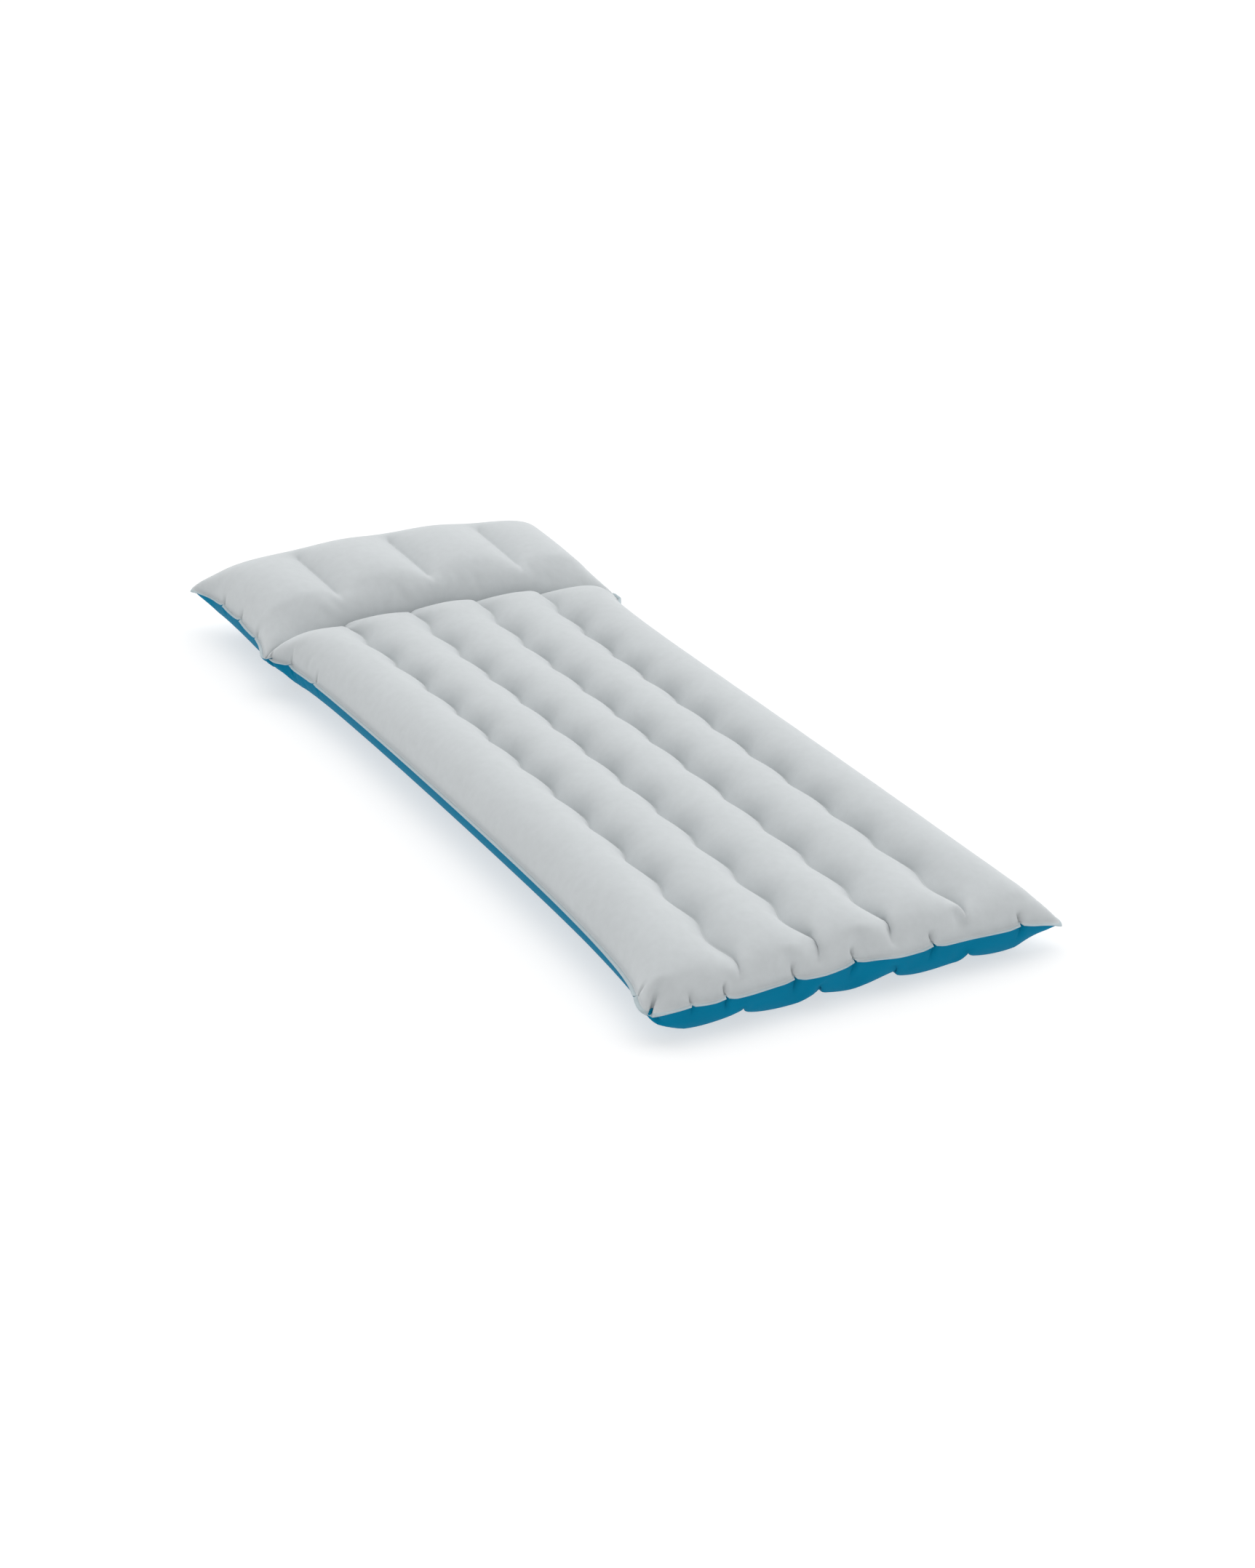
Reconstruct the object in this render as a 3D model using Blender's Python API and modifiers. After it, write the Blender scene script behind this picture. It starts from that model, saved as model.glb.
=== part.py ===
"""Inflated camping air mattress: two sheets welded round the edge, with wave-shaped webs inside."""

import math

import bmesh
import bpy
from mathutils import Matrix, Vector

# Overall size, edge to edge over the corner tips, in metres.
LENGTH = 1.840
WIDTH = 0.750
PILLOW_HEIGHT = 0.174
BODY_HEIGHT = 0.128

# Sheets, webs and the air gap kept between pieces that are welded together.
SHEET = 0.0005
WEB = 0.0004
WEB_TUCK = 0.0060
GAP = 0.0003

# The welded edge, seen from above. Its inflated outline is waisted: the corners reach furthest.
WELD_WIDTH = 0.008
WELD_THICKNESS = 0.0010
WELD_LIP = 0.004
SIDE_WAIST = 0.054
FOOT_WAIST = 0.020
HEAD_WAIST = 0.026
WAIST_POWER = 8
EDGE_HEIGHT = 0.060

# Lengthwise air columns between the webs.
COLUMNS = 5
COLUMN_PITCH_SHARE = 0.162
SEAM_HEIGHT = 0.094
BULGE_HEIGHT = 0.075
BULGE_OVERHANG = 0.004
WAVE_PERIOD = 0.1255
WAVE_SWING = 0.005
WAVE_STEPS = 4
ARC_STEPS = 4
SIDE_ARC_STEPS = 6
CROWN_FLATNESS = 0.8
FOOT_END_ANGLES = (0, 30, 60)
HEAD_END_ANGLES = (35, 65, 90)

# The cross seam between the body and the pillow, from the middle towards the head.
CREASE_Y = 0.324 * LENGTH
CREASE_DROP = 0.006
CREASE_HEIGHT = SEAM_HEIGHT - CREASE_DROP
CREASE_ROUNDING = 0.040
FOOT_ROUNDING = 0.095

# Pillow and its three short ties.
PILLOW_TOP_SHARE = 0.50
TIE_COUNT = 3
TIE_PITCH = 0.240 * WIDTH
TIE_DIP = 0.016
TIE_DIP_HALF_WIDTH = 0.026
TIE_DIP_REACH = 1.3
TIE_LENGTH_SHARE = 0.42
TIE_DROP = 0.012
PILLOW_ACROSS = 24
PILLOW_ALONG = 12
PILLOW_SIDE_POWER = 0.75
PILLOW_LOW_POWER = 3
PILLOW_CREST_POWER = 2.5

# Underside: flat strips with a shallow channel below each web.
CHANNEL_HEIGHT = 0.030
CHANNEL_FLAT = 0.009
CHANNEL_HALF_WIDTH = 0.030
WALL_TURN_SIDE = 0.040
WALL_TURN_END = 0.030
WALL_STEPS = 4
CHANNEL_END = 0.050
CHANNEL_ROWS = 10
BAFFLE_SIDE_GAP = 0.022
WELD_SEGMENTS = 96

# Two-stage valve in the head wall, on the right as seen from the foot.
VALVE_X = 0.140
VALVE_SEGMENTS = 24
NECK_BORE = 0.0115
NECK_WALL = 0.0020
NECK_RADIUS = NECK_BORE + NECK_WALL
FLANGE_WIDTH = 0.0070
FLANGE_RADIUS = NECK_RADIUS + FLANGE_WIDTH
FLANGE_THICKNESS = 0.0015
VALVE_HEIGHT_SHARE = 0.5
VALVE_Z = EDGE_HEIGHT * VALVE_HEIGHT_SHARE
NECK_INNER_LENGTH = 0.0150
NECK_OUTER_LENGTH = 0.0050
FIT = 0.0003
PLUG_RIM_WIDTH = 0.0025
PLUG_FLANGE_RADIUS = NECK_RADIUS + PLUG_RIM_WIDTH
PLUG_FLANGE_THICKNESS = 0.0016
PLUG_END_INSET = 0.0020
PLUG_CHAMFER = 0.0008
PLUG_CHAMFER_LENGTH = 0.0015
FLANGE_BEAD = 1.3
SPOUT_RADIUS = 0.0075
SPOUT_BORE = 0.0057
SPOUT_LENGTH = 0.0050
FLAP_THICKNESS = 0.0007
FLAP_OVERLAP = 0.0015
FLAP_TAB_WIDTH = 0.0050
CAP_WALL = 0.0012
CAP_TOP = 0.0012
STRAP_WIDTH = 0.0050
STRAP_THICKNESS = 0.0010
STRAP_ROOT = 0.0005

HALF_LENGTH = LENGTH / 2
HALF_WIDTH = WIDTH / 2
PITCH = WIDTH * COLUMN_PITCH_SHARE
PANEL_LIFT = WELD_THICKNESS / 2 + GAP + SHEET


def clear_scene():
    for obj in list(bpy.data.objects):
        bpy.data.objects.remove(obj, do_unlink=True)


def make_collection(name):
    found = bpy.data.collections.new(name)
    bpy.context.scene.collection.children.link(found)
    return found


def make_material(name, colour, roughness):
    material = bpy.data.materials.new(name)
    material.use_nodes = True
    shader = material.node_tree.nodes["Principled BSDF"]
    shader.inputs["Base Color"].default_value = (*colour, 1.0)
    shader.inputs["Roughness"].default_value = roughness
    shader.inputs["Metallic"].default_value = 0.0
    material.diffuse_color = (*colour, 1.0)
    return material


def add_object(name, bm, material, collection, place=None):
    mesh = bpy.data.meshes.new(name)
    bm.to_mesh(mesh)
    bm.free()
    mesh.materials.append(material)
    obj = bpy.data.objects.new(name, mesh)
    collection.objects.link(obj)
    if place is not None:
        obj.matrix_world = place
    return obj


def add_thickness(obj, thickness, inward=True):
    solidify = obj.modifiers.new("thickness", "SOLIDIFY")
    solidify.thickness = thickness
    solidify.offset = -1.0 if inward else 0.0
    solidify.use_even_offset = False
    solidify.use_quality_normals = True
    return solidify


def mix(low, high, share):
    return low + (high - low) * share


def clamp(value, low=0.0, high=1.0):
    return max(low, min(high, value))


def quarter_round(share):
    """1 at the start of a rounded end and 0 where it meets the edge."""
    return math.sqrt(max(0.0, 1.0 - clamp(share) ** 2))


def waist(value):
    return abs(value) ** WAIST_POWER


def end_waist(end):
    return HEAD_WAIST if end > 0.0 else FOOT_WAIST


def outer_outline(u, v):
    """Outer cut edge of the weld, for u and v between -1 and 1."""
    half_width = HALF_WIDTH - SIDE_WAIST * (1.0 - waist(v))
    half_length = HALF_LENGTH - end_waist(v) * (1.0 - waist(u))
    return u * half_width, v * half_length


def side_edge(y):
    """Half width of the sheets where they meet the weld, at a place along the length."""
    return HALF_WIDTH - SIDE_WAIST * (1.0 - waist(y / HALF_LENGTH)) - WELD_WIDTH


def end_edge(x, end):
    """Half length of the sheets where they meet the weld; end is -1 at the foot and 1 at the head."""
    return HALF_LENGTH - end_waist(end) * (1.0 - waist(x / HALF_WIDTH)) - WELD_WIDTH


def wave_start():
    return CREASE_Y - CREASE_ROUNDING


def wave_stop():
    return -(end_edge(0.0, -1) - FOOT_ROUNDING)


def wave_count():
    return max(1, round((wave_start() - wave_stop()) / WAVE_PERIOD))


def wave(y):
    """Sideways swing of every web at a place along the length; none at the two ends."""
    share = (wave_start() - y) / (wave_start() - wave_stop())
    if share <= 0.0 or share >= 1.0:
        return 0.0
    return WAVE_SWING * math.sin(2.0 * math.pi * wave_count() * share)


def seam_x(number, y):
    return (number - (COLUMNS - 2) / 2.0) * PITCH + wave(y)


def crease_height(x):
    """Height of the cross seam, falling to the weld at both sides."""
    share = clamp(abs(x) / side_edge(CREASE_Y))
    return mix(EDGE_HEIGHT, CREASE_HEIGHT, quarter_round(share ** PILLOW_LOW_POWER))


def column_arc(number, share, y):
    """Point on the top of one column, share 0 to 1 from its left seam to its right one."""
    if 0 < number < COLUMNS - 1:
        left = seam_x(number - 1, y)
        right = seam_x(number, y)
        angle = math.pi * share
        across = (1.0 - math.cos(angle)) / 2.0
        rise = math.sin(angle) ** CROWN_FLATNESS if 0.0 < share < 1.0 else 0.0
        return mix(left, right, across), mix(SEAM_HEIGHT, BODY_HEIGHT, rise)
    side = -1.0 if number == 0 else 1.0
    from_seam = 1.0 - share if number == 0 else share
    seam = seam_x(0 if number == 0 else COLUMNS - 2, y) * side
    edge = side_edge(y)
    bulge = edge + BULGE_OVERHANG
    centre = (seam + bulge) / 2.0
    radius = (bulge - seam) / 2.0
    low_angle = math.acos((edge - centre) / radius)
    angle = mix(math.pi, -low_angle, from_seam)
    x = centre + radius * math.cos(angle)
    if angle >= math.pi / 2.0:
        z = mix(SEAM_HEIGHT, BODY_HEIGHT, math.sin(angle))
    elif angle >= 0.0:
        z = mix(BULGE_HEIGHT, BODY_HEIGHT, math.sin(angle))
    else:
        z = mix(BULGE_HEIGHT, EDGE_HEIGHT + PANEL_LIFT, math.sin(-angle) / math.sin(low_angle))
    return side * x, z


def body_stations():
    """Places along the length of the body, from the foot's weld to the cross seam."""
    steps = wave_count() * WAVE_STEPS
    middle = [mix(wave_stop(), wave_start(), i / steps) for i in range(steps + 1)]
    foot = [math.cos(math.radians(a)) for a in FOOT_END_ANGLES]
    head = [math.sin(math.radians(a)) for a in HEAD_END_ANGLES]
    return foot, middle, head


def foot_y(x, share):
    """A place in the rounded foot end: share 1 at the weld and 0 where the rounding starts."""
    return mix(wave_stop(), -end_edge(x, -1), share)


def body_point(number, share, row):
    foot, middle, head = body_stations()
    if row < len(foot):
        x = column_arc(number, share, wave_stop())[0]
        y = foot_y(x, foot[row])
        end = quarter_round(foot[row])
    elif row < len(foot) + len(middle):
        y = middle[row - len(foot)]
        end = 1.0
    else:
        y = mix(wave_start(), CREASE_Y - GAP / 2.0, head[row - len(foot) - len(middle)])
        end = 1.0
    x, z = column_arc(number, share, y)
    z = mix(EDGE_HEIGHT + PANEL_LIFT, z, end)
    if row >= len(foot) + len(middle):
        rounding = quarter_round(head[row - len(foot) - len(middle)])
        z = mix(min(z, crease_height(x) + PANEL_LIFT), z, rounding)
    return Vector((x, y, z))


def column_of(index):
    """Column number and share of it for a grid line across the width."""
    if index <= SIDE_ARC_STEPS:
        return 0, index / SIDE_ARC_STEPS
    index -= SIDE_ARC_STEPS
    number = 1 + (index - 1) // ARC_STEPS
    if number <= COLUMNS - 2:
        return number, (index - (number - 1) * ARC_STEPS) / ARC_STEPS
    index -= (COLUMNS - 2) * ARC_STEPS
    return COLUMNS - 1, index / SIDE_ARC_STEPS


def make_grid(across, along, place):
    """A grid primitive whose vertices are moved to place(column, row)."""
    bm = bmesh.new()
    bmesh.ops.create_grid(bm, x_segments=across, y_segments=along, size=1.0)
    for vert in bm.verts:
        column = round((vert.co.x + 1.0) / 2.0 * across)
        row = round((vert.co.y + 1.0) / 2.0 * along)
        vert.co = place(column, row)
    return bm


def make_body_panel(material, collection):
    across = 2 * SIDE_ARC_STEPS + (COLUMNS - 2) * ARC_STEPS
    foot, middle, head = body_stations()
    along = len(foot) + len(middle) + len(head) - 1
    bm = make_grid(across, along, lambda c, r: body_point(*column_of(c), r))
    return add_thickness(add_object("body_top_panel", bm, material, collection), SHEET)


def tie_x(number):
    return (number - (TIE_COUNT - 1) / 2.0) * TIE_PITCH


def pillow_top_y():
    return mix(CREASE_Y, end_edge(0.0, 1), PILLOW_TOP_SHARE)


def tie_half_length():
    return TIE_LENGTH_SHARE * (end_edge(0.0, 1) - CREASE_Y) / 2.0


def tie_dip(x, y):
    """How far the short ties pull the pillow's top down."""
    along = clamp(1.0 - ((y - pillow_top_y()) / (TIE_DIP_REACH * tie_half_length())) ** 2)
    dip = 0.0
    for number in range(TIE_COUNT):
        across = clamp(1.0 - abs(x - tie_x(number)) / TIE_DIP_HALF_WIDTH)
        dip = max(dip, across)
    return TIE_DIP * dip * along


def pillow_point(column, row):
    angle = math.pi * (1.0 - column / PILLOW_ACROSS)
    along = row / PILLOW_ALONG
    front = pillow_top_y()
    edge_x = side_edge((CREASE_Y + HALF_LENGTH) / 2.0)
    u = math.cos(angle)
    u = math.copysign(abs(u) ** PILLOW_SIDE_POWER, u)
    x = u * edge_x
    back = end_edge(x, 1)
    if along <= 0.5:
        share = math.cos(math.pi * along)
        y = mix(front, CREASE_Y + GAP / 2.0, share)
        low = crease_height(x) + PANEL_LIFT
    else:
        share = -math.cos(math.pi * along)
        y = mix(front, back, share)
        low = EDGE_HEIGHT + PANEL_LIFT
    x = u * side_edge(y)
    rim = EDGE_HEIGHT + PANEL_LIFT
    low = max(rim, mix(rim, low, quarter_round(abs(u) ** PILLOW_LOW_POWER)))
    crest = mix(low, PILLOW_HEIGHT, quarter_round(abs(u) ** PILLOW_CREST_POWER))
    z = mix(low, crest, quarter_round(share)) - tie_dip(x, y)
    return Vector((x, y, max(z, rim)))


def make_pillow_panel(material, collection):
    bm = make_grid(PILLOW_ACROSS, PILLOW_ALONG, pillow_point)
    return add_thickness(add_object("pillow_top_panel", bm, material, collection), SHEET)


def channel_lines():
    """Places across the flat underside: both sides of every channel and the middle of every strip."""
    lines = []
    for number in range(COLUMNS - 1):
        middle = (number - (COLUMNS - 2) / 2.0) * PITCH
        for offset in (-CHANNEL_HALF_WIDTH, -CHANNEL_FLAT, CHANNEL_FLAT, CHANNEL_HALF_WIDTH):
            lines.append(middle + offset)
        lines.append(middle + PITCH / 2.0)
    return lines[:-1]


def channel_height(x):
    height = 0.0
    for number in range(COLUMNS - 1):
        middle = (number - (COLUMNS - 2) / 2.0) * PITCH
        far = abs(x - middle)
        share = (CHANNEL_HALF_WIDTH - far) / (CHANNEL_HALF_WIDTH - CHANNEL_FLAT)
        height = max(height, CHANNEL_HEIGHT * clamp(share))
    return height


def floor_rows():
    """Places along the flat underside. The channels run from near the foot to the cross seam."""
    foot = WALL_TURN_END - end_edge(0.0, -1)
    head = end_edge(0.0, 1) - WALL_TURN_END
    middle = [mix(foot + CHANNEL_END, CREASE_Y, i / CHANNEL_ROWS) for i in range(CHANNEL_ROWS + 1)]
    return [foot] + middle + [CREASE_Y + CHANNEL_END, head]


def end_turn(index, last):
    """Share of the turn from the flat underside, 0, up to the weld, 1, at either end of a grid line."""
    return clamp((WALL_STEPS - index) / WALL_STEPS) + clamp((index - last + WALL_STEPS) / WALL_STEPS)


def bottom_point(column, row):
    lines = channel_lines()
    rows = floor_rows()
    last_column = len(lines) + 2 * WALL_STEPS + 1
    last_row = len(rows) + 2 * WALL_STEPS - 1
    turn_x = end_turn(column, last_column)
    turn_y = end_turn(row, last_row)
    side = -1.0 if column <= last_column / 2 else 1.0
    end = -1.0 if row <= last_row / 2 else 1.0
    y_mid = rows[int(clamp(row - WALL_STEPS, 0, len(rows) - 1))]
    x = side * (side_edge(y_mid) - WALL_TURN_SIDE)
    if WALL_STEPS < column < last_column - WALL_STEPS:
        x = lines[column - WALL_STEPS - 1]
    angle_x = turn_x * math.pi / 2.0
    angle_y = turn_y * math.pi / 2.0
    y = y_mid
    if turn_x > 0.0:
        x += side * WALL_TURN_SIDE * math.sin(angle_x)
    if turn_y > 0.0:
        y = end * (end_edge(x, end) - WALL_TURN_END * (1.0 - math.sin(angle_y)))
    if turn_x > 0.0:
        reach = side_edge(y) - WALL_TURN_SIDE * (1.0 - math.sin(angle_x))
        x = side * reach
    rise = 1.0 - (math.cos(angle_x) * math.cos(angle_y))
    z = (EDGE_HEIGHT - PANEL_LIFT) * rise
    if turn_x == 0.0 and turn_y == 0.0 and 0 < row - WALL_STEPS < len(rows) - 2:
        z = channel_height(x)
    return Vector((x, y, z))


def make_bottom_panel(material, collection):
    across = len(channel_lines()) + 2 * WALL_STEPS + 1
    along = len(floor_rows()) + 2 * WALL_STEPS - 1
    bm = make_grid(across, along, bottom_point)
    bmesh.ops.reverse_faces(bm, faces=bm.faces)
    obj = add_object("bottom_panel", bm, material, collection)
    add_thickness(obj, SHEET)
    return obj


def square_walk(share):
    """Point on the edge of the unit square, share 0 to 1 going once round."""
    place = (share % 1.0) * 4.0
    side = int(place)
    step = 2.0 * (place - side) - 1.0
    return ((step, -1.0), (1.0, step), (-step, 1.0), (-1.0, -step))[side]


def weld_point(column, row):
    share = column / WELD_SEGMENTS
    u, v = square_walk(share)
    if row == 1:
        x, y = outer_outline(u, v)
    else:
        y = v * end_edge(u * HALF_WIDTH, v)
        x = u * (side_edge(y) - WELD_LIP)
        y = v * (end_edge(x, v) - WELD_LIP)
    return Vector((x, y, EDGE_HEIGHT))


def make_weld(material, collection):
    bm = make_grid(WELD_SEGMENTS, 1, weld_point)
    bmesh.ops.remove_doubles(bm, verts=bm.verts, dist=0.00001)
    bmesh.ops.recalc_face_normals(bm, faces=bm.faces)
    obj = add_object("perimeter_weld", bm, material, collection)
    add_thickness(obj, WELD_THICKNESS, inward=False)
    return obj


def make_wave_beam(number, material, collection):
    """One lengthwise web, from the underside's channel up to its seam in the top sheet."""
    steps = wave_count() * WAVE_STEPS
    bottom = CHANNEL_HEIGHT + SHEET + GAP
    top = SEAM_HEIGHT - SHEET - GAP * 3.0

    def place(column, row):
        y = mix(wave_stop(), wave_start(), column / steps)
        return Vector((seam_x(number, y), y, mix(bottom, top, row)))

    bm = make_grid(steps, 1, place)
    obj = add_object(f"wave_beam_{number + 1}", bm, material, collection)
    add_thickness(obj, WEB, inward=False)
    return obj


def make_pillow_baffle(material, collection):
    """Cross web below the seam between body and pillow."""
    reach = side_edge(CREASE_Y) - WALL_TURN_SIDE - BAFFLE_SIDE_GAP
    steps = 16
    bottom = CHANNEL_HEIGHT + SHEET + GAP

    def place(column, row):
        x = mix(-reach, reach, column / steps)
        top = crease_height(x) - WEB_TUCK
        return Vector((x, CREASE_Y, mix(bottom, top, row)))

    bm = make_grid(steps, 1, place)
    obj = add_object("pillow_baffle", bm, material, collection)
    add_thickness(obj, WEB, inward=False)
    return obj


def make_pillow_tie(number, material, collection):
    steps = 4
    bottom = SHEET + WEB_TUCK

    def place(column, row):
        share = 2.0 * column / steps - 1.0
        y = pillow_top_y() + tie_half_length() * share
        far = abs(y - pillow_top_y())
        room = (end_edge(0.0, 1) - CREASE_Y) / 2.0
        top = mix(CREASE_HEIGHT, PILLOW_HEIGHT, quarter_round(far / room))
        top -= TIE_DIP + SHEET + TIE_DROP
        return Vector((tie_x(number), y, mix(bottom, top, row)))

    bm = make_grid(steps, 1, place)
    obj = add_object(f"pillow_tie_{number + 1}", bm, material, collection)
    add_thickness(obj, WEB, inward=False)
    return obj


def turned(name, profile, material, collection, place):
    """A round piece made by spinning (radius, height) pairs about the valve's axis."""
    bm = bmesh.new()
    verts = [bm.verts.new((radius, 0.0, height)) for radius, height in profile]
    edges = [bm.edges.new((a, b)) for a, b in zip(verts, verts[1:] + verts[:1])]
    bmesh.ops.spin(
        bm,
        geom=verts + edges,
        cent=(0.0, 0.0, 0.0),
        axis=(0.0, 0.0, 1.0),
        angle=2.0 * math.pi,
        steps=VALVE_SEGMENTS,
        use_merge=True,
    )
    bmesh.ops.remove_doubles(bm, verts=bm.verts, dist=0.00001)
    bmesh.ops.recalc_face_normals(bm, faces=bm.faces)
    return add_object(name, bm, material, collection, place)


def valve_face_y():
    """Outer face of the head wall at the valve."""
    return end_edge(VALVE_X, 1) + GAP


def valve_place(height=0.0):
    """Frame on the valve's axis: local +Z points out of the wall."""
    turn = Matrix.Rotation(-math.pi / 2.0, 4, "X")
    return Matrix.Translation((VALVE_X, valve_face_y() + height, VALVE_Z)) @ turn


def make_valve_base(material, collection):
    profile = (
        (NECK_BORE, -NECK_INNER_LENGTH),
        (NECK_RADIUS, -NECK_INNER_LENGTH),
        (NECK_RADIUS, 0.0),
        (FLANGE_RADIUS, 0.0),
        (FLANGE_RADIUS, FLANGE_THICKNESS),
        (NECK_RADIUS, FLANGE_THICKNESS * FLANGE_BEAD),
        (NECK_RADIUS, NECK_OUTER_LENGTH),
        (NECK_BORE, NECK_OUTER_LENGTH),
    )
    return turned("valve_base", profile, material, collection, valve_place())


def plug_inner_end():
    return -NECK_INNER_LENGTH + PLUG_END_INSET


def plug_flange_bottom():
    return NECK_OUTER_LENGTH + FIT


def make_valve_plug(material, collection):
    radius = NECK_BORE - FIT
    flange_top = plug_flange_bottom() + PLUG_FLANGE_THICKNESS
    profile = (
        (SPOUT_BORE, plug_inner_end()),
        (radius - PLUG_CHAMFER, plug_inner_end()),
        (radius, plug_inner_end() + PLUG_CHAMFER_LENGTH),
        (radius, plug_flange_bottom()),
        (PLUG_FLANGE_RADIUS, plug_flange_bottom()),
        (PLUG_FLANGE_RADIUS, flange_top),
        (SPOUT_RADIUS, flange_top),
        (SPOUT_RADIUS, flange_top + SPOUT_LENGTH),
        (SPOUT_BORE, flange_top + SPOUT_LENGTH),
    )
    return turned("valve_plug", profile, material, collection, valve_place())


def flap_hinge():
    """Distance from the valve's axis to the flap's hinge line."""
    return SPOUT_BORE + FLAP_OVERLAP + FLAP_THICKNESS


def plate(name, outline, low, high, material, collection, place):
    """A flat piece: an outline in the local XY plane, from height low to height high."""
    bm = bmesh.new()
    verts = [bm.verts.new((x, y, low)) for x, y in outline]
    face = bm.faces.new(verts)
    pushed = bmesh.ops.extrude_face_region(bm, geom=[face])
    moved = [item for item in pushed["geom"] if isinstance(item, bmesh.types.BMVert)]
    bmesh.ops.translate(bm, verts=moved, vec=(0.0, 0.0, high - low))
    bmesh.ops.recalc_face_normals(bm, faces=bm.faces)
    return add_object(name, bm, material, collection, place)


def keyhole(radius, tab_half, tab_reach):
    """Round outline with a tab that runs out along +X."""
    start = math.asin(tab_half / radius)
    steps = VALVE_SEGMENTS - 2
    points = [(tab_reach, -tab_half), (tab_reach, tab_half)]
    for i in range(steps + 1):
        angle = mix(start, 2.0 * math.pi - start, i / steps)
        points.append((radius * math.cos(angle), radius * math.sin(angle)))
    return points


def move_origin(obj, offset):
    """Puts a piece's origin at a place in its own frame, and leaves the piece where it is."""
    obj.data.transform(Matrix.Translation(offset).inverted())
    obj.matrix_world = obj.matrix_world @ Matrix.Translation(offset)


def make_check_flap(material, collection):
    """Thin disc over the plug's inner end, hinged at the top of its tab."""
    hinge = flap_hinge()
    place = valve_place(plug_inner_end() - GAP)
    outline = [(y, -x) for x, y in keyhole(SPOUT_BORE + FLAP_OVERLAP, FLAP_TAB_WIDTH / 2, hinge)]
    flap = plate("check_flap", outline, -FLAP_THICKNESS, 0.0, material, collection, place)
    move_origin(flap, Vector((0.0, -hinge, 0.0)))
    return flap


def cap_hinge():
    """Distance from the valve's axis to the line where the cap's strap bends."""
    return PLUG_FLANGE_RADIUS - STRAP_THICKNESS


def make_inflation_cap(material, collection):
    """Cup over the spout, with the strap that ties it to the plug's rim."""
    inner = SPOUT_RADIUS + FIT
    outer = inner + CAP_WALL
    base = plug_flange_bottom() + PLUG_FLANGE_THICKNESS + GAP
    roof = base + SPOUT_LENGTH
    hinge = cap_hinge()
    profile = (
        (inner, 0.0),
        (outer, 0.0),
        (outer, roof - base + CAP_TOP),
        (0.0, roof - base + CAP_TOP),
        (0.0, roof - base),
        (inner, roof - base),
    )
    place = valve_place(base)
    cap = turned("inflation_cap", profile, material, collection, place)
    outline = (
        (outer - STRAP_ROOT, -STRAP_WIDTH / 2),
        (hinge + STRAP_THICKNESS / 2, -STRAP_WIDTH / 2),
        (hinge + STRAP_THICKNESS / 2, STRAP_WIDTH / 2),
        (outer - STRAP_ROOT, STRAP_WIDTH / 2),
    )
    strap = plate("strap_for_cap", outline, 0.0, STRAP_THICKNESS, material, collection, place)
    join = cap.modifiers.new("strap", "BOOLEAN")
    join.operation = "UNION"
    join.solver = "EXACT"
    join.object = strap
    strap.hide_render = True
    strap.display_type = "WIRE"
    move_origin(cap, Vector((hinge, 0.0, STRAP_THICKNESS / 2)))
    return cap, strap


def cut_valve_hole(panel, cutters, material):
    bm = bmesh.new()
    bmesh.ops.create_cone(
        bm,
        cap_ends=True,
        cap_tris=False,
        segments=VALVE_SEGMENTS,
        radius1=NECK_RADIUS + GAP,
        radius2=NECK_RADIUS + GAP,
        depth=NECK_INNER_LENGTH * 2.0,
    )
    cutter = add_object("valve_hole_cutter", bm, material, cutters, valve_place())
    cutter.hide_render = True
    cutter.display_type = "WIRE"
    cut = panel.modifiers.new("valve_hole", "BOOLEAN")
    cut.operation = "DIFFERENCE"
    cut.solver = "EXACT"
    cut.object = cutter


def main():
    clear_scene()
    pieces = make_collection("air_mattress")
    cutters = make_collection("cutters")
    cutters.hide_render = True
    grey = make_material("grey_fabric_laminate", (0.52, 0.56, 0.57), 0.90)
    blue = make_material("blue_fabric_laminate", (0.004, 0.16, 0.33), 0.85)
    weld = make_material("pale_weld", (0.35, 0.55, 0.68), 0.60)
    film = make_material("clear_grey_film", (0.60, 0.63, 0.65), 0.50)
    moulded = make_material("blue_moulded_vinyl", (0.01, 0.12, 0.26), 0.45)
    rubber = make_material("flap_rubber", (0.10, 0.11, 0.12), 0.80)

    make_body_panel(grey, pieces)
    make_pillow_panel(grey, pieces)
    bottom = make_bottom_panel(blue, pieces)
    make_weld(weld, pieces)
    for number in range(COLUMNS - 1):
        make_wave_beam(number, film, pieces)
    make_pillow_baffle(film, pieces)
    for number in range(TIE_COUNT):
        make_pillow_tie(number, film, pieces)
    make_valve_base(moulded, pieces)
    make_valve_plug(moulded, pieces)
    make_check_flap(rubber, pieces)
    cap, strap = make_inflation_cap(moulded, pieces)
    pieces.objects.unlink(strap)
    cutters.objects.link(strap)
    cut_valve_hole(bottom, cutters, moulded)


main()
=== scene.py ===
"""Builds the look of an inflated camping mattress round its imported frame, and a plain studio for it."""

import math

import bmesh
import bpy
import numpy as np
from bpy.props import FloatProperty, FloatVectorProperty, IntProperty, PointerProperty
from mathutils import Matrix, Vector


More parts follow.
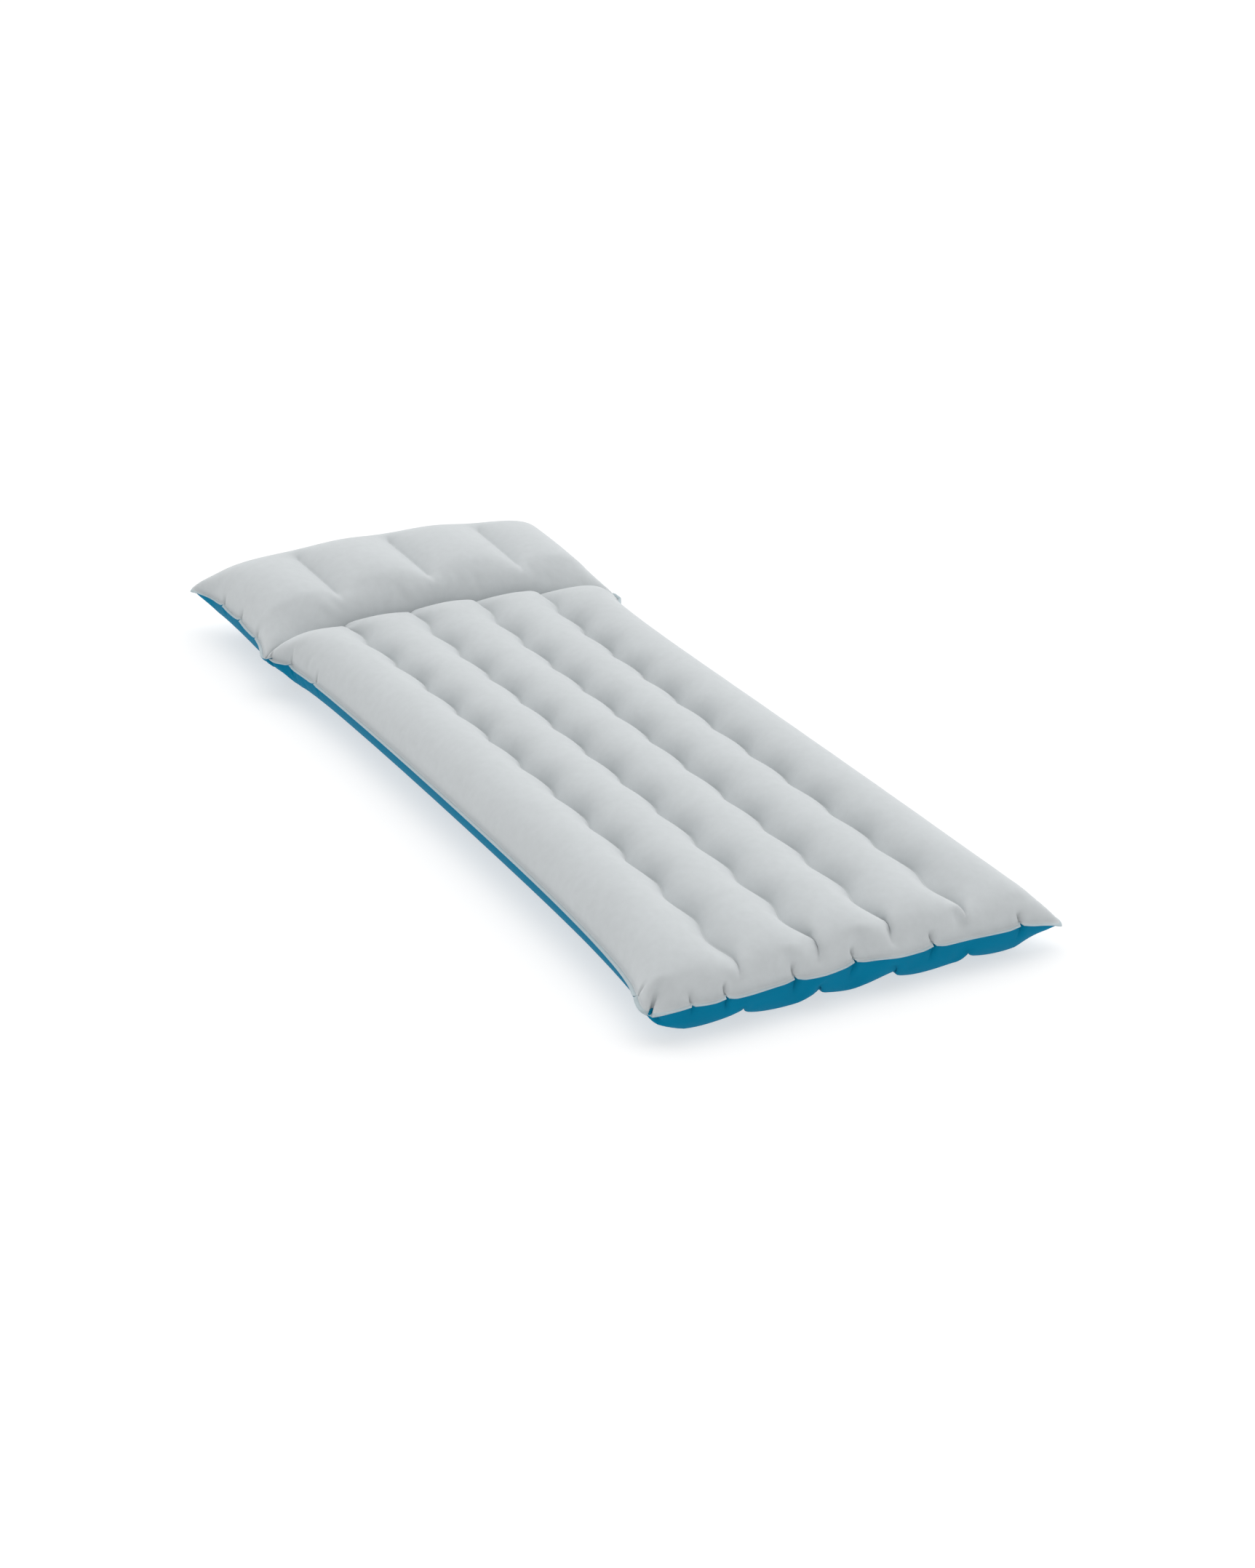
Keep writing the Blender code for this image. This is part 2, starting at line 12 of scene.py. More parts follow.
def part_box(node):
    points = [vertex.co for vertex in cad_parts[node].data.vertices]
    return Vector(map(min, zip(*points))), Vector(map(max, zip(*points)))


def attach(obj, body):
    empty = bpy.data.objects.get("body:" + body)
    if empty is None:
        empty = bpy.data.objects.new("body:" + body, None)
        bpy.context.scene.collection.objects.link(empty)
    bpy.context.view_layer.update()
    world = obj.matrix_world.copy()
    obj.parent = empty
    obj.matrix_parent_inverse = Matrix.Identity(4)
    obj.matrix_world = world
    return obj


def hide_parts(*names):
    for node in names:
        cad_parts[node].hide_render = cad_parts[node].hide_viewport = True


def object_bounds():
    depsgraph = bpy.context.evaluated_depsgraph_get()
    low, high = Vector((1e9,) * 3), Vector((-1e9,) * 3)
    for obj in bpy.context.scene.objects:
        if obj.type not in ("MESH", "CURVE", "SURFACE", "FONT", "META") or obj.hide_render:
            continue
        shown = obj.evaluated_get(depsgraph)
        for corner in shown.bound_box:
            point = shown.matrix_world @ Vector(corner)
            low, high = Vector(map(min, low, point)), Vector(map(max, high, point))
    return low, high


bl_info = {
    "name": "Camping mattress",
    "version": (1, 0, 0),
    "blender": (4, 5, 0),
    "location": "3D View > Sidebar > Mattress",
    "description": "Inflates the two sheets of a camping mattress and finishes its pieces",
    "category": "Add Mesh",
}

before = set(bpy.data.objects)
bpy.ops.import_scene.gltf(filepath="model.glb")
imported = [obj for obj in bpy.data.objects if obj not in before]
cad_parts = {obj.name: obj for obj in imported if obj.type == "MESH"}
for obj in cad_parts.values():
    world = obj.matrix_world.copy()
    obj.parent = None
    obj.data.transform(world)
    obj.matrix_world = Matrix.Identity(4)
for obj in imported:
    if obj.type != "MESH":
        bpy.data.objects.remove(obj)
CAD_LOW, CAD_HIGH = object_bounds()

TOP, UNDER = 0, 1
COLUMN_SEAMS = 4
TIES = 3


# ---------------------------------------------------------------- settings


def length(name, description, default):
    return FloatProperty(name=name, description=description, default=default, unit="LENGTH", precision=4)


def angle(name, description, degrees):
    return FloatProperty(name=name, description=description, default=math.radians(degrees), subtype="ANGLE")


def colour(name, description, default):
    return FloatVectorProperty(
        name=name, description=description, default=default, size=3, subtype="COLOR", min=0.0, max=1.0
    )


class MattressCut(bpy.types.PropertyGroup):
    """The flat sheets and the webs between them, before any air goes in."""

    column_width: length("Column width", "Flat width between two lengthwise seams", 0.145)
    side_width: length("Side column width", "Flat width from the last seam to the welded edge", 0.170)
    body_length: length("Body length", "Flat length from the foot weld to the cross seam", 1.545)
    pillow_length: length("Pillow length", "Flat length from the cross seam to the head weld", 0.404)
    weld_width: length("Weld width", "Width of the welded edge", 0.006)
    web_height: length("Web height", "Height of a lengthwise web", 0.060)
    cross_web_height: length("Cross web height", "Height of the web under the cross seam", 0.035)
    tie_height: length("Tie height", "Height of a pillow tie", 0.119)
    tie_start: FloatProperty(name="Tie start", description="Near end, as a share of the pillow", default=0.22)
    tie_end: FloatProperty(name="Tie end", description="Far end, as a share of the pillow", default=0.70)
    wave_swing: length("Wave swing", "How far a lengthwise seam swings to each side", 0.0058)
    wave_period: length("Wave period", "Length of one wave of a seam", 0.1275)
    first_notch: length("First notch", "Distance from the cross seam to the first outward swing", 0.145)
    foot_gap: length("Foot gap", "Distance from the end of a web to the foot weld", 0.020)
    side_fullness: length("Side fullness", "How far the long sides are cut outwards half-way along", 0.010)
    corner_radius: length("Corner radius", "Rounding of the flat corners", 0.020)
    folded_corner: length("Folded corner", "Rounding where one foot corner is folded under", 0.060)
    sheet: length("Sheet", "Thickness of the laminated sheet", 0.0005)
    film: length("Film", "Thickness of the web film", 0.0004)
    weld_thickness: length("Weld thickness", "Thickness of the two sheets pressed together", 0.0014)


class MattressAir(bpy.types.PropertyGroup):
    """How the sheets are blown up."""

    pressure: FloatProperty(name="Pressure", description="Push of the air, 1 when full", default=1.0)
    first_steps: IntProperty(name="Coarse steps", description="Steps on the coarse grid", default=400)
    second_steps: IntProperty(name="Middle steps", description="Steps on the middle grid", default=220)
    third_steps: IntProperty(name="Fine steps", description="Steps on the fine grid", default=120)
    passes: IntProperty(name="Passes", description="Passes over the threads in each step", default=10)


class MattressColours(bpy.types.PropertyGroup):
    """Colours of the cloth, film and fittings."""

    top: colour("Top", "Flocked top sheet", (0.545, 0.575, 0.588))
    under: colour("Underside", "Blue sheet of the underside and walls", (0.000, 0.180, 0.320))
    weld: colour("Weld", "Pressed edge", (0.440, 0.520, 0.550))
    film: colour("Film", "Webs inside", (0.420, 0.560, 0.640))
    vinyl: colour("Vinyl", "Valve body, plug and cap", (0.030, 0.150, 0.260))
    rubber: colour("Rubber", "Flap inside the valve", (0.020, 0.022, 0.024))


class MattressStudio(bpy.types.PropertyGroup):
    """Floor, lights and camera."""

    floor: colour("Floor", "Plain pale floor", (0.42, 0.42, 0.42))
    floor_glow: FloatProperty(name="Floor glow", description="Evens out the floor's shadows", default=0.60)
    key: FloatProperty(name="Key light", description="Strength of the large soft light", default=2.7)
    sky: FloatProperty(name="Sky", description="Strength of the even light all round", default=0.43)
    lens: FloatProperty(name="Lens", description="Focal length", default=62.54, subtype="DISTANCE_CAMERA")
    distance: length("Distance", "From the camera to the point it looks at", 4.3809)
    turn: angle("Turn", "Camera's turn about the vertical", -27.553)
    rise: angle("Rise", "Camera's height above the level", 24.141)
    roll: angle("Roll", "Camera's turn about its own line of sight", 0.596)


# ---------------------------------------------------------------- materials


class Reading:
    """One value in a material, so that a sum on it is written as plain maths."""

    def __init__(self, recipe, socket):
        self.recipe = recipe
        self.socket = socket

    def maths(self, operation, *values):
        return self.recipe.node("ShaderNodeMath", {"operation": operation}, dict(enumerate(values)))

    def __add__(self, other):
        return self.maths("ADD", self, other)

    def __radd__(self, other):
        return self.maths("ADD", other, self)

    def __sub__(self, other):
        return self.maths("SUBTRACT", self, other)

    def __rsub__(self, other):
        return self.maths("SUBTRACT", other, self)

    def __mul__(self, other):
        return self.maths("MULTIPLY", self, other)

    def __rmul__(self, other):
        return self.maths("MULTIPLY", other, self)

    def __truediv__(self, other):
        return self.maths("DIVIDE", self, other)

    def __pow__(self, other):
        return self.maths("POWER", self, other)

    def clipped(self):
        return self.maths("MINIMUM", self.maths("MAXIMUM", self, 0.0), 1.0)


class Recipe:
    """A material being made: one Principled shader, and the nodes that feed it."""

    def __init__(self, name, **constants):
        self.material = bpy.data.materials.new(name)
        self.material.use_nodes = True
        self.tree = self.material.node_tree
        self.shader = self.tree.nodes["Principled BSDF"]
        for socket, value in constants.items():
            self.shader.inputs[socket.replace("_", " ")].default_value = value

    def set_socket(self, socket, value):
        if isinstance(value, Reading):
            self.tree.links.new(value.socket, socket)
        elif isinstance(value, (tuple, list)) and socket.type == "RGBA" and len(value) == 3:
            socket.default_value = (*value, 1.0)
        else:
            socket.default_value = value

    def node(self, kind, settings=None, sockets=None, output=0):
        """A node of that kind. Its settings come first, then the values or links of its sockets."""
        made = self.tree.nodes.new(kind)
        for setting, value in (settings or {}).items():
            setattr(made, setting, value)
        for socket, value in (sockets or {}).items():
            self.set_socket(made.inputs[socket], value)
        return Reading(self, made.outputs[output])

    def noise(self, where, scale, detail=2.0, roughness=0.5):
        return self.node(
            "ShaderNodeTexNoise",
            {},
            {"Vector": where, "Scale": scale, "Detail": detail, "Roughness": roughness},
        )

    def tinted(self, first, second, share):
        return self.node(
            "ShaderNodeMix", {"data_type": "RGBA"}, {0: share, 6: first, 7: second}, output=2
        )

    def attribute(self, name, output="Fac"):
        return self.node("ShaderNodeAttribute", {"attribute_name": name}, {}, output=output)

    def bumped(self, height, distance, strength=1.0):
        return self.node(
            "ShaderNodeBump", {}, {"Strength": strength, "Distance": distance, "Height": height}
        )

    def feed(self, **sockets):
        for socket, value in sockets.items():
            self.set_socket(self.shader.inputs[socket.replace("_", " ")], value)
        return self.material


def shade(tone, amount):
    return tuple(min(1.0, channel * amount) for channel in tone)


def flocked_cloth(tones):
    """Short grey nap on the top sheet: soft mottling, fine flecks, and along the seams a little wear with
    painted crease shade.
    """
    made = Recipe("flocked_top_cloth", Sheen_Weight=0.25, Sheen_Roughness=0.6, Specular_IOR_Level=0.25)
    cloth = made.attribute("cloth", "Vector")
    wear_and_crease_shade = made.attribute("seam")
    clouds = made.noise(cloth, 9.0, detail=3.0)
    brushed = made.noise(cloth, 60.0, detail=4.0, roughness=0.6)
    flecks = made.noise(cloth, 1400.0, detail=2.0)
    tone = clouds * 0.25 + brushed * 0.45 + flecks * 0.30
    base = made.tinted(shade(tones.top, 0.86), shade(tones.top, 1.14), tone.clipped())
    # Painted crease shade: the grey is darkened along the seams and welds, where shade falls, together with a
    # little wear there.
    base = made.tinted(base, shade(tones.top, 0.88), (wear_and_crease_shade * 0.5).clipped())
    nap = flecks * 0.6 + brushed * 0.4
    return made.feed(
        Base_Color=base,
        Roughness=(0.86 + clouds * 0.08 - wear_and_crease_shade * 0.10).clipped(),
        Normal=made.bumped(nap, 0.0006, strength=0.35),
    )


def woven_cloth(tones):
    """Blue laminated cloth: a fine plain weave below a thin vinyl skin, with a slight satin sheen."""
    made = Recipe("blue_laminated_cloth", Specular_IOR_Level=0.03)
    cloth = made.attribute("cloth", "Vector")
    wear_and_crease_shade = made.attribute("seam")
    warp = made.node(
        "ShaderNodeTexWave",
        {"wave_type": "BANDS", "bands_direction": "X"},
        {"Vector": cloth, "Scale": 260.0, "Distortion": 0.4, "Detail": 1.0},
        output=1,
    )
    weft = made.node(
        "ShaderNodeTexWave",
        {"wave_type": "BANDS", "bands_direction": "Y"},
        {"Vector": cloth, "Scale": 260.0, "Distortion": 0.4, "Detail": 1.0},
        output=1,
    )
    clouds = made.noise(cloth, 14.0, detail=3.0)
    grain = made.noise(cloth, 420.0, detail=2.0)
    weave = warp * weft
    tone = (clouds * 0.5 + grain * 0.3 + weave * 0.2).clipped()
    base = made.tinted(shade(tones.under, 0.86), shade(tones.under, 1.16), tone)
    # Painted crease shade: the blue is darkened along the seams and welds, where shade falls, together with a
    # little wear there.
    base = made.tinted(base, shade(tones.under, 0.72), (wear_and_crease_shade * 0.5).clipped())
    return made.feed(
        Base_Color=base,
        Roughness=(0.50 + clouds * 0.12 + wear_and_crease_shade * 0.08).clipped(),
        Normal=made.bumped(weave * 0.6 + grain * 0.4, 0.0004, strength=0.4),
    )


def pressed_weld(tones):
    """The pressed edge: grey on its upper side and blue below, with the fine ribs of the welding tool."""
    made = Recipe("pressed_edge", Specular_IOR_Level=0.4)
    cloth = made.attribute("cloth", "Vector")
    upper = made.attribute("upper")
    ribs = made.node(
        "ShaderNodeTexWave",
        {"wave_type": "BANDS", "bands_direction": "DIAGONAL"},
        {"Vector": cloth, "Scale": 150.0, "Distortion": 0.0},
        output=1,
    )
    mottle = made.noise(cloth, 90.0, detail=3.0)
    pale = made.tinted(shade(tones.weld, 0.90), shade(tones.weld, 1.08), mottle)
    blue = made.tinted(shade(tones.under, 0.85), shade(tones.under, 1.15), mottle)
    return made.feed(
        Base_Color=made.tinted(blue, pale, upper.clipped()),
        Roughness=(0.42 + mottle * 0.20).clipped(),
        Normal=made.bumped(ribs * 0.7 + mottle * 0.3, 0.0003, strength=0.5),
    )


def web_film(tones):
    """Cloudy vinyl film of the webs inside."""
    made = Recipe("web_film", Specular_IOR_Level=0.5)
    cloth = made.attribute("cloth", "Vector")
    clouds = made.noise(cloth, 40.0, detail=3.0)
    return made.feed(
        Base_Color=made.tinted(shade(tones.film, 0.88), shade(tones.film, 1.10), clouds),
        Roughness=(0.30 + clouds * 0.20).clipped(),
        Normal=made.bumped(clouds, 0.0004, strength=0.3),
    )


def moulded(name, tone, roughness, grain_size):
    """A soft moulded fitting: a fine matt grain, slightly uneven in colour."""
    made = Recipe(name, Specular_IOR_Level=0.5)
    place = made.node("ShaderNodeTexCoord", {}, {}, output=3)
    grain = made.noise(place, 1.0 / grain_size, detail=2.0)
    uneven = made.noise(place, 120.0, detail=2.0)
    return made.feed(
        Base_Color=made.tinted(shade(tone, 0.88), shade(tone, 1.12), uneven),
        Roughness=(roughness + grain * 0.14).clipped(),
        Normal=made.bumped(grain, 0.00008, strength=0.5),
    )


# ---------------------------------------------------------------- inflating the sheets


COLUMN_CROWDING = 0.5
ROW_CROWDING = 0.4
LOBE_CHANGE = 0.2
WAVE_FADE = 0.03
WAVE_PAST_WEB = 0.02
PULL = 0.50
SLANT_PULL = 0.35
SLANT_PUSH = 0.02
BEND = 0.20
SHRINK = 0.04
EDGE_GATHER = 0.02
CROSS_GATHER = 0.01
CROSS_GATHER_REACH = 0.07
WEB_TAPER = 0.06
FOOT_WEB = 1.0
HEAD_WEB = 0.75
PUSH = 0.02
WEIGHT = 0.0002
EAR_REACH = 0.08
EAR_WEIGHT = 15.0
KEPT_SPEED = 0.97
FASTEST_STEP = 0.35


class FlatSheets:
    """The two flat sheets as one grid of points, with the rows and columns where webs are welded."""

    def __init__(self, cut, fineness):
        per = 2**fineness
        per_column, per_side, per_lobe = 6 * per, 7 * per, 8 * per
        body_rows, pillow_rows = 60 * per, 14 * per
        columns = [(cut.side_width, per_side)]
        columns += [(cut.column_width, per_column)] * (COLUMN_SEAMS - 1)
        columns += [(cut.side_width, per_side)]
        width = sum(share for share, _ in columns)
        self.across = stations(columns, cut.weld_width, COLUMN_CROWDING)
        lobes = [(width / (TIES + 1), per_lobe)] * (TIES + 1)
        self.across_pillow = stations(lobes, cut.weld_width, COLUMN_CROWDING)
        lengths = [(cut.body_length, body_rows), (cut.pillow_length, pillow_rows)]
        self.along = stations(lengths, cut.weld_width, ROW_CROWDING)
        self.seams = [1 + per_side + per_column * k for k in range(COLUMN_SEAMS)]
        self.ties = [1 + per_lobe * (k + 1) for k in range(TIES)]
        self.cross_row = 1 + body_rows
        self.spacing = cut.column_width / per_column
        self.places = self.draw(cut)
        web_end = self.along[0] + cut.weld_width + cut.foot_gap
        rows = [j for j in range(self.cross_row) if self.along[j] > web_end]
        self.web_rows = slice(rows[0], rows[-1] + 1)
        past = (self.along - self.along[self.cross_row]) / cut.pillow_length
        rows = np.flatnonzero((past > cut.tie_start) & (past < cut.tie_end))
        self.tie_rows = slice(rows[0], rows[-1] + 1)

    def draw(self, cut):
        """The flat place of each point: seams drawn as waves, corners rounded."""
        x, y = np.meshgrid(self.across, self.along, indexing="ij")
        into_pillow = np.clip((y - self.along[self.cross_row]) / (LOBE_CHANGE * cut.pillow_length), 0, 1)
        x = x + (self.across_pillow[:, None] - x) * into_pillow * into_pillow * (3 - 2 * into_pillow)
        half_width, half_length = self.across[-1], self.along[-1]
        last_seam = abs(self.across[self.seams[0]])
        outer = np.clip((np.abs(x) - last_seam) / (half_width - last_seam), 0, 1)
        inner_edge = half_width - cut.weld_width
        fade = np.clip((inner_edge - np.abs(x)) / (inner_edge - last_seam), 0, 1)
        head_end = self.along[self.cross_row]
        foot_end = self.along[0] + cut.weld_width + cut.foot_gap
        from_foot = y - foot_end + WAVE_PAST_WEB
        lasting = np.clip((head_end - y) / WAVE_FADE, 0, 1) * np.clip(from_foot / WAVE_FADE, 0, 1)
        turns = (head_end - cut.first_notch - y) / cut.wave_period
        x = x - cut.wave_swing * np.cos(2 * np.pi * turns) * lasting * fade
        radius = np.where((x < 0) & (y < 0), cut.folded_corner, cut.corner_radius)
        in_x = np.clip((np.abs(x) - (half_width - radius)) / radius, 0, 1)
        in_y = np.clip((np.abs(y) - (half_length - radius)) / radius, 0, 1)
        corner = (in_x > 0) & (in_y > 0)
        pull = np.maximum(in_x, in_y) / (np.hypot(in_x, in_y) + 1e-9)
        x = np.where(corner, np.sign(x) * (half_width - radius + radius * in_x * pull), x)
        y = np.where(corner, np.sign(y) * (half_length - radius + radius * in_y * pull), y)
        x = x + np.sign(x) * cut.side_fullness * outer * (1 - (y / half_length) ** 2)
        return np.stack([x, y, np.zeros_like(x)], -1).astype(np.float32)


def stations(spans, edge, crowding):
    """Places of the threads over these spans, closer together near each seam, with an edge at both ends."""
    found = [0.0, edge]
    for span, count in spans:
        t = np.linspace(0.0, 1.0, count + 1)[1:]
        found.extend(found[-1] + span * (t - crowding * np.sin(2 * np.pi * t) / (2 * np.pi)))
    found.append(found[-1] + edge)
    return np.array(found) - found[-1] / 2


def distance(first, second):
    return np.linalg.norm(first - second, axis=-1).astype(np.float32)


def every_pair(places, step_x, step_y):
    """Sets of point pairs this far apart in the grid, such that no set uses a point twice."""
    count_x, count_y = places.shape[:2]
    first_y = max(0, -step_y)
    rows = count_y - abs(step_y)
    found = []
    if step_x:
        for offset in range(2 * step_x):
            n = len(range(offset, count_x - step_x, 2 * step_x))
            last = offset + 2 * step_x * (n - 1) + 1
            a = (slice(offset, last, 2 * step_x), slice(first_y, first_y + rows))
            shifted = first_y + step_y
            b = (slice(offset + step_x, last + step_x, 2 * step_x), slice(shifted, shifted + rows))
            found.append((a, b))
    else:
        for offset in range(2 * step_y):
            n = len(range(offset, count_y - step_y, 2 * step_y))
            last = offset + 2 * step_y * (n - 1) + 1
            a = (slice(None), slice(offset, last, 2 * step_y))
            b = (slice(None), slice(offset + step_y, last + step_y, 2 * step_y))
            found.append((a, b))
    every = slice(None)
    return [((every, *a), (every, *b), distance(places[a], places[b])[None]) for a, b in found]


def threads_of(sheets):
    """The threads that keep the cloth's size, as (first, second, length, pull, push).
    A weld folds freely, and the pressed edge can gather."""
    places = sheets.places
    kinds = (
        (1, 0, PULL, SHRINK),
        (0, 1, PULL, SHRINK),
        (1, 1, SLANT_PULL, SLANT_PUSH),
        (1, -1, SLANT_PULL, SLANT_PUSH),
        (2, 0, 0.00, BEND),
        (0, 2, 0.00, BEND),
    )
    found = []
    for step_x, step_y, pull, push in kinds:
        stiff = np.full(places.shape[:2], push, np.float32)
        if step_x == 2:
            for seam in sheets.seams:
                stiff[seam - 1, sheets.web_rows] = 0.0
            for tie in sheets.ties:
                stiff[tie - 1, sheets.tie_rows] = 0.0
        if step_y == 2:
            stiff[:, sheets.cross_row - 1] = 0.0
        if (step_x, step_y) == (1, 0):
            near_cross = np.abs(sheets.along - sheets.along[sheets.cross_row]) < CROSS_GATHER_REACH
            stiff[:, near_cross] = CROSS_GATHER
        if (step_x, step_y) == (0, 1):
            stiff[:2] = stiff[-2:] = EDGE_GATHER
        if (step_x, step_y) == (1, 0):
            stiff[:, :2] = stiff[:, -2:] = EDGE_GATHER
        for first, second, rest in every_pair(places, step_x, step_y):
            found.append((first, second, rest, np.float32(pull), stiff[first[1:]][None]))
    return found


def hold_together(points, top, under, height):
    """Pulls both ends of a web in until it is no higher than its cut."""
    reach = points[under] - points[top]
    size = np.sqrt((reach * reach).sum(-1)) + np.float32(1e-9)
    share = (np.maximum(0, (size - height) / size)[..., None] * reach * 0.5).astype(np.float32)
    points[top] += share
    points[under] -= share


def webs_of(sheets, cut):
    """Every web as (its points on the top sheet, its points on the underside, its height)."""
    y = sheets.places[sheets.seams[0], sheets.web_rows, 1]
    from_foot = np.clip(FOOT_WEB + (y - y[0]) / WEB_TAPER, 0, 1)
    from_head = np.clip(HEAD_WEB + (y[-1] - y) / WEB_TAPER, 0, 1)
    taper = from_foot * from_head
    found = []
    for seam in sheets.seams:
        height = (cut.web_height * taper).astype(np.float32)
        found.append(((TOP, seam, sheets.web_rows), (UNDER, seam, sheets.web_rows), height))
    inner = slice(2, len(sheets.across) - 2)
    x = sheets.places[inner, sheets.cross_row, 0] / sheets.across[-2]
    height = (cut.cross_web_height * np.sqrt(np.clip(1 - np.abs(x) ** 6, 0, 1))).astype(np.float32)
    found.append(((TOP, inner, sheets.cross_row), (UNDER, inner, sheets.cross_row), height))
    for tie in sheets.ties:
        height = np.float32(cut.tie_height)
        found.append(((TOP, tie, sheets.tie_rows), (UNDER, tie, sheets.tie_rows), height))
    return found


def push_of_air(points):
    """The push of the air on each point: half the crossed diagonals of the cells round it."""
    across = np.gradient(points, axis=1)
    along = np.gradient(points, axis=2)
    push = np.cross(across, along)
    push[UNDER] *= -1
    return push.astype(np.float32)


def blow_up(sheets, cut, air, points, steps):
    """Steps the two sheets until the air has filled them. It holds nothing random."""
    places = sheets.places
    threads = threads_of(sheets)
    webs = webs_of(sheets, cut)
    edges = ((slice(0, 2), slice(None)), (slice(-2, None), slice(None)),
             (slice(None), slice(0, 2)), (slice(None), slice(-2, None)))
    half_x, half_y = sheets.across[-1], sheets.along[-1]
    from_corner = np.hypot(half_x - np.abs(places[..., 0]), half_y - np.abs(places[..., 1]))
    ear = np.clip(1 - from_corner / EAR_REACH, 0, 1)
    weight = np.float32(WEIGHT * sheets.spacing) * (1 + EAR_WEIGHT * ear).astype(np.float32)
    moving = np.zeros_like(points)
    push = np.float32(air.pressure * PUSH / sheets.spacing)
    fastest = np.float32(FASTEST_STEP * sheets.spacing)
    for _ in range(steps):
        moving *= np.float32(KEPT_SPEED)
        moving += push_of_air(points) * push
        moving[..., 2] -= weight
        speed = np.linalg.norm(moving, axis=-1, keepdims=True)
        moving *= np.minimum(1, fastest / np.maximum(speed, 1e-9))
        before = points
        points = points + moving
        for _ in range(air.passes):
            for first, second, rest, pull, stiff in threads:
                reach = points[second] - points[first]
                size = np.sqrt(np.einsum("...k,...k->...", reach, reach)) + np.float32(1e-9)
                strain = (size - rest) / size
                share = (np.where(strain > 0, pull, stiff) * strain)[..., None] * reach
                points[first] += share
                points[second] -= share
            for top, under, height in webs:
                hold_together(points, top, under, height)
            for edge in edges:
                middle = (points[TOP][edge] + points[UNDER][edge]) * np.float32(0.5)
                points[TOP][edge] = middle
                points[UNDER][edge] = middle
            np.maximum(points[..., 2], 0, out=points[..., 2])
        moving = points - before
    return points


def finer(points, axis):
    """Doubles the points between the welded edges, in a straight line between the old ones."""
    count = points.shape[axis]
    new = 2 * (count - 3) + 3
    at = np.arange(new)
    from_end = count - new + at
    old = np.where(at <= 1, at, np.where(at >= new - 2, from_end, 1 + (at - 1) / 2.0))
    low = np.clip(np.floor(old).astype(int), 0, count - 2)
    shape = [1] * points.ndim
    shape[axis] = new
    share = (old - low).astype(np.float32).reshape(shape)
    return np.take(points, low, axis) * (1 - share) + np.take(points, low + 1, axis) * share


def slack_start(sheets):
    """Both sheets loosely parted, so that the air has something to push on."""
    places = sheets.places
    u = np.linspace(-1, 1, places.shape[0])[:, None]
    v = np.linspace(-1, 1, places.shape[1])[None]
    dome = (1 - u**4) * (1 - v**8) * 0.05
    points = np.stack([places, places])
    points[..., 0] *= 0.80
    points[..., 1] *= 0.97
    points[TOP, ..., 2] = 0.06 + dome
    points[UNDER, ..., 2] = 0.06 - dome
    return points.astype(np.float32)


PILLOW_FRONT = 0.075
PILLOW_FRONT_PASSES = 400
EDGE_ROWS = 14
FOOT_EDGE_PASSES = 60
SIDE_EDGE_PASSES = 30
FOOT_WALL = 0.060
FOOT_WALL_REACH = 0.150
FOOT_WALL_STAND = 0.55
SMOOTH_FROM = 0.03
SMOOTH_FADE = 0.06
HANGING_CORNER = (0.010, 0.004, -0.020)
FULL_CORNER = (-0.012, -0.012, -0.010)
CORNER_REACH = 0.090
DART_PINCH = 0.60
DART_ROWS = 8
FOOT_DARTS = ((-0.302, 0.006, 0.003), (-0.241, 0.010, 0.005), (-0.119, 0.011, 0.006),
              (-0.009, 0.011, 0.006), (0.145, 0.011, 0.006), (0.312, 0.010, 0.006))
HEAD_DARTS = ((-0.310, 0.006, 0.004), (-0.150, 0.007, 0.005), (0.020, 0.006, 0.004),
              (0.215, 0.007, 0.005), (0.320, 0.006, 0.003))
LEFT_DARTS = ((0.280, 0.006, 0.004), (0.189, 0.007, 0.005), (0.095, 0.004, 0.003), (-0.015, 0.007, 0.005),
              (-0.067, 0.006, 0.004), (-0.172, 0.005, 0.003), (-1.480, 0.007, 0.003))
RIGHT_DARTS = ((0.262, 0.006, 0.004), (0.175, 0.006, 0.004), (0.020, 0.007, 0.005),
               (-0.090, 0.005, 0.003), (-0.210, 0.004, 0.003), (-1.470, 0.005, 0.003))


def smooth_pillow_foot(sheets, points):
    """Takes the ripples out of the pillow's front, just past the cross seam."""
    cross = sheets.cross_row
    past = (sheets.along - sheets.along[cross]) / PILLOW_FRONT
    share = np.clip(1.25 - past, 0, 1) * np.where(past > 0, 1.0, 0.7)
    rows = np.flatnonzero((past >= 0) & (share > 0))
    from_side = sheets.across[-1] - np.abs(sheets.across)
    inner = np.clip((from_side - SMOOTH_FROM) / SMOOTH_FADE, 0, 1)
    amount = (inner[:, None] * share[rows])[..., None]
    strip = points[TOP][:, rows]
    plain = strip.copy()
    for _ in range(PILLOW_FRONT_PASSES):
        between = 0.5 * (plain[:-2] + plain[2:])
        plain[1:-1] += 0.5 * inner[1:-1, None, None] * (between - plain[1:-1])
    points[TOP][:, rows] = strip + (plain - strip) * amount


def smooth_edge(strip, keen, passes):
    """Evens out a strip of both sheets beside the welded edge, before its folds are pressed in."""
    amount = np.clip((EDGE_ROWS - np.arange(EDGE_ROWS)) / (EDGE_ROWS - 3.0), 0, 1)[None, None, :, None]
    keen = keen[None, :, None, None]
    plain = strip.copy()
    for _ in range(passes):
        plain[:, 1:-1] += 0.5 * keen[:, 1:-1] * (0.5 * (plain[:, :-2] + plain[:, 2:]) - plain[:, 1:-1])
    strip += (plain - strip) * amount


